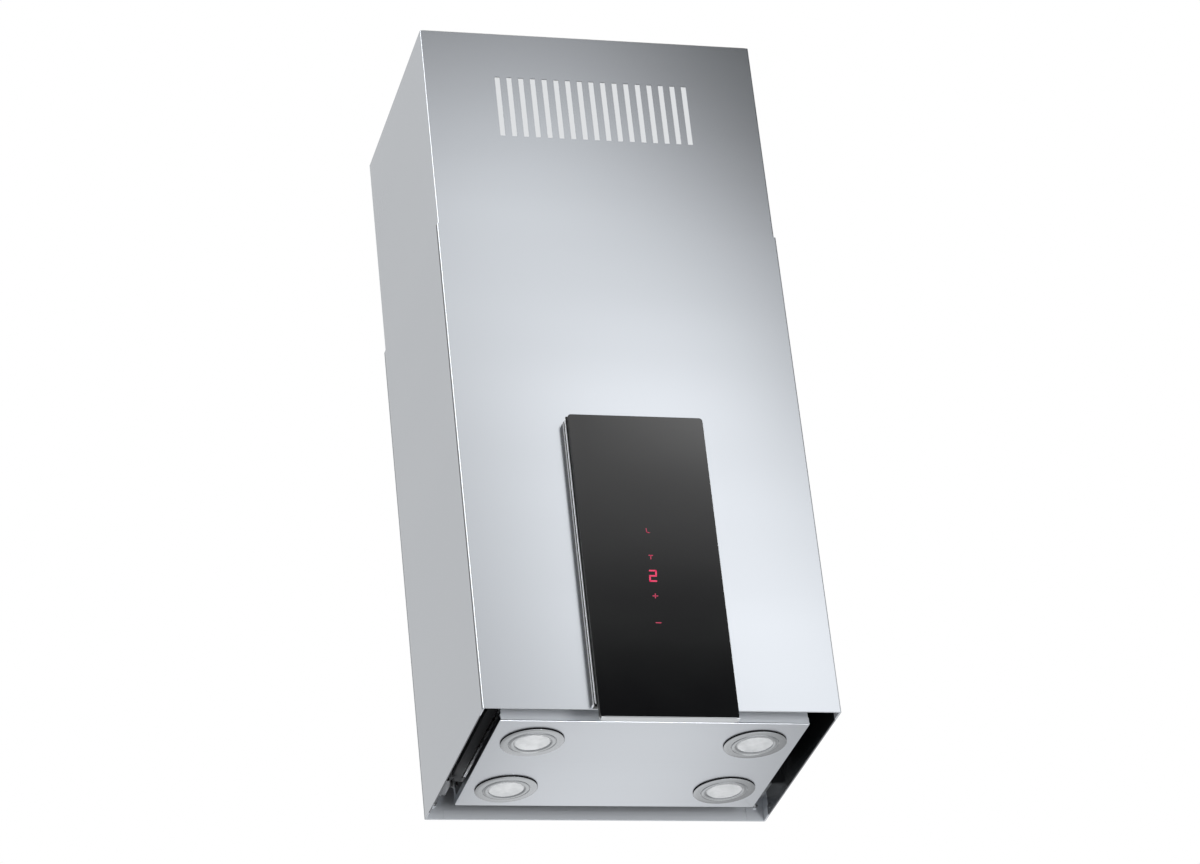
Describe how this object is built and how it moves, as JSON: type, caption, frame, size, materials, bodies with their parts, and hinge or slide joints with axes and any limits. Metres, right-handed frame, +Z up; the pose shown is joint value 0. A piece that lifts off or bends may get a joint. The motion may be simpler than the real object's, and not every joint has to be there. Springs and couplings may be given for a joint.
{
  "type": "island range hood",
  "caption": "Island range hood: telescopic steel chimney, casing with perimeter suction panel, lamps, blower, filter, duct spigot and touch control behind black glass.",
  "frame": {"origin": "centre of the ceiling frame's top face, where it meets the ceiling", "axes": "+Z up towards the ceiling, -Y towards the user and the touch control, +X to the right seen from the front"},
  "size_m": [0.4, 0.3209, 0.881],
  "materials": {
    "stainless_casing": "satin brushed stainless steel",
    "stainless_panel": "satin stainless steel",
    "galvanised": "zinc coated sheet",
    "dark_coated_box": "dark coated sheet",
    "coated_bracket": "grey coated sheet",
    "blower_plastic": "moulded grey plastic",
    "zinc_fastener": "zinc plated",
    "lamp_metal": "turned satin metal",
    "lamp_glass": "frosted glass",
    "filter_aluminium": "natural aluminium",
    "black_plastic": "moulded black plastic",
    "flap_plastic": "moulded dark grey plastic",
    "motor_coating": "dark coated metal",
    "rubber": "soft black rubber",
    "white_plastic": "moulded white plastic",
    "carrier_metal": "satin aluminium",
    "black_glass": "polished black glass",
    "circuit_board": "coated circuit board",
    "magnet": "black coated magnet"
  },
  "bodies": {
    "ceiling_mount": {"ceiling_frame": "galvanised", "chimney": "stainless_casing", "frame_screws": "zinc_fastener", "upper_post_front_left": "galvanised", "upper_post_front_right": "galvanised", "upper_post_back_left": "galvanised", "upper_post_back_right": "galvanised"},
    "hood": {"lower_post_front_left": "galvanised", "lower_post_front_right": "galvanised", "lower_post_back_left": "galvanised", "lower_post_back_right": "galvanised", "clamp_bolts": "zinc_fastener", "casing_front": "stainless_casing", "casing_back": "stainless_casing", "casing_left": "stainless_casing", "casing_right": "stainless_casing", "casing_bracket_left": "coated_bracket", "casing_bracket_right": "coated_bracket", "hood_screws": "zinc_fastener", "air_box": "dark_coated_box", "air_box_top": "galvanised", "hinge_pins": "zinc_fastener", "panel_magnets": "magnet", "hinge_bracket_left": "coated_bracket", "hinge_bracket_right": "coated_bracket", "filter_frame": "filter_aluminium", "filter_mesh": "filter_aluminium", "latch_spring": "zinc_fastener", "scroll_front": "blower_plastic", "scroll_back": "blower_plastic", "motor": "motor_coating", "motor_mount": "galvanised", "motor_grommets": "rubber", "capacitor": "white_plastic", "duct_spigot": "black_plastic", "flap_pins": "zinc_fastener", "control_base": "stainless_panel", "control_spacer": "black_plastic", "glass_carrier": "carrier_metal", "control_glass": "black_glass", "touch_board": "circuit_board", "terminal_box": "black_plastic", "terminal_lid": "black_plastic", "cable_gland": "black_plastic", "lamp_driver": "white_plastic"},
    "suction_tray": {"suction_panel": "stainless_panel", "lamp_clips": "zinc_fastener", "lamp_housing_front_left": "lamp_metal", "lamp_housing_front_right": "lamp_metal", "lamp_housing_back_left": "lamp_metal", "lamp_housing_back_right": "lamp_metal", "lamp_lens_front_left": "lamp_glass", "lamp_lens_front_right": "lamp_glass", "lamp_lens_back_left": "lamp_glass", "lamp_lens_back_right": "lamp_glass"},
    "rotor": {"impeller": "blower_plastic", "motor_shaft": "zinc_fastener"},
    "flap_left": {"damper_flap_left": "flap_plastic"},
    "flap_right": {"damper_flap_right": "flap_plastic"},
    "latch": {"filter_latch": "black_plastic"}
  },
  "joints": [
    {"name": "height_adjust", "type": "slide", "parent": "ceiling_mount", "child": "hood", "axis": [0, 0, 1], "range_m": [-0.15, 0.11]},
    {"name": "panel_hinge", "type": "hinge", "parent": "hood", "child": "suction_tray", "pos_m": [0, 0.104, -0.838], "axis": [1, 0, 0], "range_deg": [0, 85]},
    {"name": "rotor_spin", "type": "hinge", "parent": "hood", "child": "rotor", "pos_m": [-0.066, 0, -0.712], "axis": [0, 1, 0], "continuous": true},
    {"name": "flap_left_pivot", "type": "hinge", "parent": "hood", "child": "flap_left", "pos_m": [-0.004, 0, -0.5652], "axis": [0, 1, 0], "range_deg": [0, 75]},
    {"name": "flap_right_pivot", "type": "hinge", "parent": "hood", "child": "flap_right", "pos_m": [0.004, 0, -0.5652], "axis": [0, -1, 0], "range_deg": [0, 75]},
    {"name": "latch_slide", "type": "slide", "parent": "hood", "child": "latch", "axis": [0, 1, 0], "range_m": [0, 0.006], "stiffness_N_per_m": 400, "springref_m": -0.004, "deforming": ["latch_spring"]}
  ]
}
